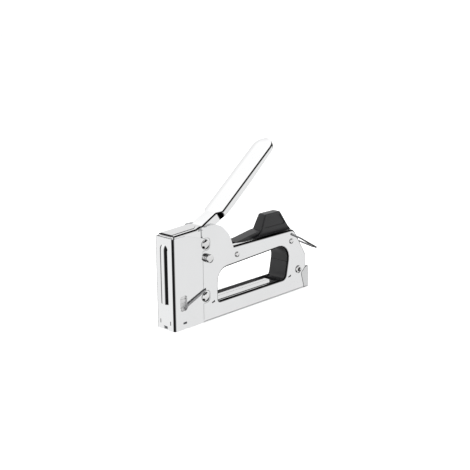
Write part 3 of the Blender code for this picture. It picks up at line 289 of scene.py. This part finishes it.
METALS = (
    # name, colour, roughness, scratches, dirt, and for bright plate the limits of its bends, which get
    # painted dark reflection
    ("chrome_body", (0.93, 0.935, 0.94, 1), 0.055, 0.03, 0.03, BODY_PAINTED_BENDS),
    ("chrome_lever", (0.95, 0.953, 0.957, 1), 0.045, 0.02, 0.02, LEVER_PAINTED_BENDS, LEVER_PAINTED_SLOPES),
    ("latch_chrome", (0.76, 0.765, 0.77, 1), 0.08, 0.04, 0.05, BODY_PAINTED_BENDS),
    ("rivets", (0.80, 0.80, 0.80, 1), 0.08, 0.03, 0.10),
    ("plain_steel", (0.42, 0.42, 0.43, 1), 0.24, 0.10, 0.20),
    ("wire_steel", (0.36, 0.36, 0.37, 1), 0.22, 0.08, 0.20),
    ("spring_steel", (0.20, 0.20, 0.22, 1), 0.28, 0.10, 0.25),
    ("rack_steel", (0.95, 0.95, 0.95, 1), 0.6, 0.10, 0.05),
    ("staples", (0.62, 0.63, 0.65, 1), 0.22, 0.08, 0.12),
)
PLASTICS = (
    # name, colour, roughness, grain
    ("black_plastic", (0.004, 0.004, 0.005, 1), 0.36, 0.25),
    ("bumper_rubber", (0.016, 0.016, 0.016, 1), 0.75, 0.5),
)
MATERIALS = {name: make_metal(name, *settings) for name, *settings in METALS}
MATERIALS.update({name: make_plastic(name, *settings) for name, *settings in PLASTICS})


# ---------------------------------------------------------------- smooth shading of CAD nodes

def make_shading_group():
    """Modifier group: shades faces smooth and keeps edges sharper than an angle."""
    group = bpy.data.node_groups.new("smooth_by_angle", "GeometryNodeTree")
    group.interface.new_socket("Geometry", in_out="INPUT", socket_type="NodeSocketGeometry")
    group.interface.new_socket("Angle", in_out="INPUT", socket_type="NodeSocketFloat")
    group.interface.new_socket("Geometry", in_out="OUTPUT", socket_type="NodeSocketGeometry")
    nodes, links = group.nodes, group.links
    source = nodes.new("NodeGroupInput")
    drop = nodes.new("GeometryNodeRemoveAttribute")
    drop.inputs["Name"].default_value = "custom_normal"
    faces = nodes.new("GeometryNodeSetShadeSmooth")
    faces.domain = "FACE"
    edges = nodes.new("GeometryNodeSetShadeSmooth")
    edges.domain = "EDGE"
    angle = nodes.new("GeometryNodeInputMeshEdgeAngle")
    below = nodes.new("FunctionNodeCompare")
    below.data_type = "FLOAT"
    below.operation = "LESS_THAN"
    sink = nodes.new("NodeGroupOutput")
    links.new(source.outputs["Geometry"], drop.inputs["Geometry"])
    links.new(drop.outputs["Geometry"], faces.inputs["Geometry"])
    links.new(faces.outputs["Geometry"], edges.inputs["Geometry"])
    links.new(angle.outputs["Unsigned Angle"], below.inputs["A"])
    links.new(source.outputs["Angle"], below.inputs["B"])
    links.new(below.outputs["Result"], edges.inputs["Shade Smooth"])
    links.new(edges.outputs["Geometry"], sink.inputs["Geometry"])
    return group


SHADING = make_shading_group()


def soften(piece, edge=0.0):
    """Weld a piece's triangles, round its sharp edges by some millimetres and shade the rest smooth."""
    weld = piece.modifiers.new("weld", "WELD")
    weld.merge_threshold = WELD_GAP
    flat = piece.modifiers.new("flat_faces", "DECIMATE")
    flat.decimate_type = "DISSOLVE"
    flat.angle_limit = math.radians(FLAT_ANGLE)
    if edge:
        rounding = piece.modifiers.new("edges", "BEVEL")
        rounding.limit_method = "ANGLE"
        rounding.angle_limit = math.radians(SHARP_ANGLE)
        rounding.width = edge * MM
        rounding.segments = 2
        rounding.use_clamp_overlap = True
        rounding.miter_outer = "MITER_ARC"
    shading = piece.modifiers.new("shading", "NODES")
    shading.node_group = SHADING
    shading["Socket_1"] = math.radians(SHARP_ANGLE)
    weighted = piece.modifiers.new("flat_normals", "WEIGHTED_NORMAL")
    weighted.mode = "FACE_AREA"
    weighted.weight = 100
    weighted.keep_sharp = True


for part in frame["record"]["subparts"]:
    name = part["node"]
    node = NODES[name]
    node.data.materials.clear()
    node.data.materials.append(MATERIALS[OTHER_LOOKS.get(name, part["material_slot"])])
    soften(node, EDGES.get(name, COMMON_EDGE))


# ---------------------------------------------------------------- finer pieces on the frame

def piece_from(name, bm, material, body, edge=0.0):
    """A new visible piece from a mesh in the frame's axes, riding on a CAD body."""
    mesh = bpy.data.meshes.new(name)
    bmesh.ops.recalc_face_normals(bm, faces=bm.faces)
    bm.to_mesh(mesh)
    bm.free()
    mesh.materials.append(MATERIALS[material])
    piece = bpy.data.objects.new(name, mesh)
    bpy.context.scene.collection.objects.link(piece)
    soften(piece, edge)
    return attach(piece, body)


def prism(bm, ends):
    """A closed bar between two matching outlines."""
    first, last = [[bm.verts.new(point) for point in outline] for outline in ends]
    bm.faces.new(first)
    bm.faces.new(last[::-1])
    for i in range(len(first)):
        j = (i + 1) % len(first)
        bm.faces.new((first[i], last[i], last[j], first[j]))


def sweep(bm, path, radius):
    """A round wire of the given radius along a path of points."""
    rings = []
    across = None
    for i, point in enumerate(path):
        ahead = (path[min(i + 1, len(path) - 1)] - path[max(i - 1, 0)]).normalized()
        if across is None:
            across = ahead.orthogonal().normalized()
        across = (across - ahead * across.dot(ahead)).normalized()
        other = ahead.cross(across)
        turns = [2 * math.pi * k / WIRE_SIDES for k in range(WIRE_SIDES)]
        rings.append([bm.verts.new(point + radius * (across * math.cos(turn) + other * math.sin(turn)))
                      for turn in turns])
    for ring, following in zip(rings, rings[1:]):
        for k in range(WIRE_SIDES):
            j = (k + 1) % WIRE_SIDES
            bm.faces.new((ring[k], ring[j], following[j], following[k]))
    bm.faces.new(rings[0])
    bm.faces.new(rings[-1])


def coil_path(low, high, axis, mean, turns):
    """Helix between the ends of a box along an axis, with closed flat end turns."""
    start, end = low[axis], high[axis]
    sides = [k for k in range(3) if k != axis]
    centre = [(low[k] + high[k]) / 2 for k in sides]
    path = []
    steps = int(turns * COIL_STEPS)
    for i in range(steps + 1):
        t = i / steps
        eased = min(max((t * turns - FLAT_TURNS) / (turns - 2 * FLAT_TURNS), 0.0), 1.0)
        angle = 2 * math.pi * turns * t
        point = [0.0, 0.0, 0.0]
        point[axis] = start + (end - start) * eased
        point[sides[0]] = centre[0] + mean * math.cos(angle)
        point[sides[1]] = centre[1] + mean * math.sin(angle)
        path.append(Vector(point))
    return path


def make_spring(node, name, axis, wire, turns):
    """Fine coil in place of a CAD spring, riding on the CAD spring's body."""
    low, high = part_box(node)
    sides = [k for k in range(3) if k != axis]
    mean = min(high[k] - low[k] for k in sides) / 2 - wire
    inner_low, inner_high = low.copy(), high.copy()
    inner_low[axis] += wire
    inner_high[axis] -= wire
    bm = bmesh.new()
    sweep(bm, coil_path(inner_low, inner_high, axis, mean, turns), wire)
    spring = piece_from(name, bm, "spring_steel", NODES[node]["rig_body"])
    anchor = (low + high) / 2
    anchor[axis] = high[axis]
    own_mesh(spring)
    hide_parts(node)
    return spring


def make_staples():
    """The strip as separate glued staples: thin wires bent over the rail."""
    low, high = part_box("staple_strip")
    wire = STAPLE_WIRE
    pitch = wire + STAPLE_GAP
    profile = [
        (low.y, low.z), (low.y + wire * 0.5, low.z), (low.y + wire, low.z + wire),
        (low.y + wire, high.z - wire), (high.y - wire, high.z - wire),
        (high.y - wire, low.z + wire), (high.y - wire * 0.5, low.z), (high.y, low.z),
        (high.y, high.z - wire * 0.5), (high.y - wire * 0.5, high.z),
        (low.y + wire * 0.5, high.z), (low.y, high.z - wire * 0.5),
    ]
    bm = bmesh.new()
    for k in range(int((high.x - low.x) / pitch)):
        front = low.x + k * pitch
        prism(bm, [[(x, y, z) for y, z in profile] for x in (front, front + wire)])
    strip = piece_from("staples", bm, "staples", "magazine")
    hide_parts("staple_strip")
    return strip


def make_lance(name, x, z, side):
    """Small bent tab pressed out of a side plate, an L lying on its side; its black plastic colour is
    painted shade.
    """
    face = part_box("near_shell")[0].y if side < 0 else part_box("far_shell")[1].y
    bend = LANCE_STEP * LANCE_TALL
    profile = [(0, 0), (LANCE_LONG, bend), (LANCE_LONG, LANCE_TALL),
               (LANCE_LONG - LANCE_THICK, LANCE_TALL),
               (LANCE_LONG - LANCE_THICK, bend + LANCE_THICK), (0, LANCE_THICK)]
    bm = bmesh.new()
    prism(bm, [[(x + px, face + side * depth, z + pz) for px, pz in profile]
               for depth in (-LANCE_SUNK, LANCE_PROUD)])
    # black plastic on a steel tab: painted shade
    return piece_from(name, bm, "black_plastic", "frame", LANCE_EDGE)


def make_lining_lip(name, side, rise):
    """Black strip that carries the hole's plastic lining forward along a lower edge."""
    liner_low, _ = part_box("lower_hole_liner")
    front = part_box("lower_rivet")[1].x + LIP_FRONT
    rear = liner_low.x + LIP_LAP
    low, high = liner_low.z + LINER_WALL - LIP_SUNK, liner_low.z + LINER_WALL + rise
    outer = side * (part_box("far_shell")[1].y - LIP_BACK)
    profile = [(outer, low), (outer, high - LIP_ROUND), (outer - side * LIP_ROUND, high),
               (outer - side * LIP_THICK, high), (outer - side * LIP_THICK, low)]
    bm = bmesh.new()
    prism(bm, [[(x, y, z) for y, z in profile] for x in (front, rear)])
    return piece_from(name, bm, "black_plastic", "frame", COMMON_EDGE)


make_spring("main_spring", "main_coil", Z, MAIN_WIRE, MAIN_TURNS)
make_spring("pusher_spring", "pusher_coil", X, PUSHER_WIRE, PUSHER_TURNS)
make_staples()
for label, side in SIDES:
    make_lining_lip(label + "_lining_lip", side, LIP_RISE[label])
hole_low, liner_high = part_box("lower_hole_liner")
lance_z = hole_low.z + LANCE_RISE
for label, side in SIDES:
    make_lance("front_lance_" + label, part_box("lower_rivet")[1].x + FRONT_LANCE, lance_z, side)
    make_lance("rear_lance_" + label, liner_high.x - REAR_LANCE, lance_z, side)


# ---------------------------------------------------------------- studio

def make_floor():
    """A large pale sheet that the tool stands on."""
    bm = bmesh.new()
    turns = [2 * math.pi * k / FLOOR_SIDES for k in range(FLOOR_SIDES)]
    rings = [[bm.verts.new((radius * math.cos(turn), radius * math.sin(turn), 0.0)) for turn in turns]
             for radius in FLOOR_RADII]
    bm.faces.new(rings[0])
    for inner, outer in zip(rings, rings[1:]):
        for k in range(FLOOR_SIDES):
            j = (k + 1) % FLOOR_SIDES
            bm.faces.new((inner[k], outer[k], outer[j], inner[j]))
    mesh = bpy.data.meshes.new("floor")
    bm.to_mesh(mesh)
    bm.free()
    floor = bpy.data.objects.new("floor", mesh)
    bpy.context.scene.collection.objects.link(floor)
    material, s, place = new_material("pale_floor")
    mottle = s.remap(s.noise(place, 3.0), 0.3, 0.7, 0.0, 1.0)
    tint = s.mix(mottle, grey(0.93), grey(0.95))
    body = s.node("ShaderNodeBsdfPrincipled", {"Base Color": tint, "Roughness": 0.8})
    s.node("ShaderNodeOutputMaterial", {"Surface": body.outputs["BSDF"]})
    mesh.materials.append(material)
    floor.visible_glossy = False
    return floor


def patch(s, direction, azimuth, elevation, inner, outer):
    """1 inside a round patch of the sky, 0 outside it, with a soft border; angles in degrees."""
    a, e = math.radians(azimuth), math.radians(elevation)
    centre = (math.cos(a) * math.cos(e), math.sin(a) * math.cos(e), math.sin(e))
    made = s.node("ShaderNodeVectorMath", {0: direction, 1: centre}, operation="DOT_PRODUCT")
    return s.remap(made.outputs["Value"], math.cos(math.radians(outer)),
                   math.cos(math.radians(inner)), 0.0, 1.0)


def make_world():
    """White studio with dark corners for mirrors, and plain white light for everything else."""
    world = bpy.data.worlds.new("studio")
    bpy.context.scene.world = world
    world.use_nodes = True
    s = Shader(world.node_tree)
    direction = s.node("ShaderNodeTexCoord").outputs["Generated"]
    dark = None
    for azimuth, elevation, inner, outer, strength in DARK_PATCHES:
        one = patch(s, direction, azimuth, elevation, inner, outer)
        one = s.math("MULTIPLY", one, strength)
        dark = one if dark is None else s.math("MAXIMUM", dark, one)
    height = s.node("ShaderNodeSeparateXYZ", {"Vector": direction}).outputs["Z"]
    bright = s.remap(height, *MIRROR_HEIGHTS, *MIRROR_LIGHT)
    seen = s.mix(dark, grey(1.0), grey(MIRROR_DARK))
    mirrored = s.node("ShaderNodeBackground", {"Color": seen, "Strength": bright})
    plain = s.node("ShaderNodeBackground", {"Color": grey(1.0), "Strength": PLAIN_LIGHT})
    path = s.node("ShaderNodeLightPath")
    both = s.node("ShaderNodeMixShader", {
        0: path.outputs["Is Glossy Ray"], 1: plain.outputs[0], 2: mirrored.outputs[0]})
    s.node("ShaderNodeOutputWorld", {"Surface": both.outputs[0]})


def area_light(name, place, size, power):
    """A round lamp that shines on the tool and doesn't show in mirrors."""
    light = bpy.data.lights.new(name, "AREA")
    light.shape = "DISK"
    light.size = size
    light.energy = power
    lamp = bpy.data.objects.new(name, light)
    lamp.location = place
    lamp.rotation_mode = "QUATERNION"
    lamp.rotation_quaternion = (Vector(LIGHT_TARGET) - Vector(place)).to_track_quat("-Z", "Y")
    lamp.visible_glossy = False
    bpy.context.scene.collection.objects.link(lamp)


def make_camera():
    """Camera at the photograph's viewing angle: about 44 degrees round and 15 degrees up."""
    data = bpy.data.cameras.new("camera")
    data.lens = LENS
    data.sensor_width = SENSOR
    data.clip_start, data.clip_end = CLIP_START, CLIP_END
    camera = bpy.data.objects.new("camera", data)
    turn, drop, roll = (math.radians(a) for a in (CAMERA_TURN, CAMERA_DROP, CAMERA_ROLL))
    forward = Vector((math.cos(drop) * math.cos(turn), math.cos(drop) * math.sin(turn),
                      -math.sin(drop)))
    camera.location = CAMERA_PLACE
    camera.rotation_mode = "QUATERNION"
    facing = forward.to_track_quat("-Z", "Y")
    camera.rotation_quaternion = facing @ Matrix.Rotation(roll, 3, "Z").to_quaternion()
    bpy.context.scene.collection.objects.link(camera)
    bpy.context.scene.camera = camera


make_floor()
make_world()
area_light("key_light", (-0.5, -0.9, 1.4), 1.0, 12.0)
area_light("top_light", (0.2, 0.3, 1.6), 1.4, 14.0)
make_camera()
bpy.context.scene.view_settings.view_transform = "Standard"
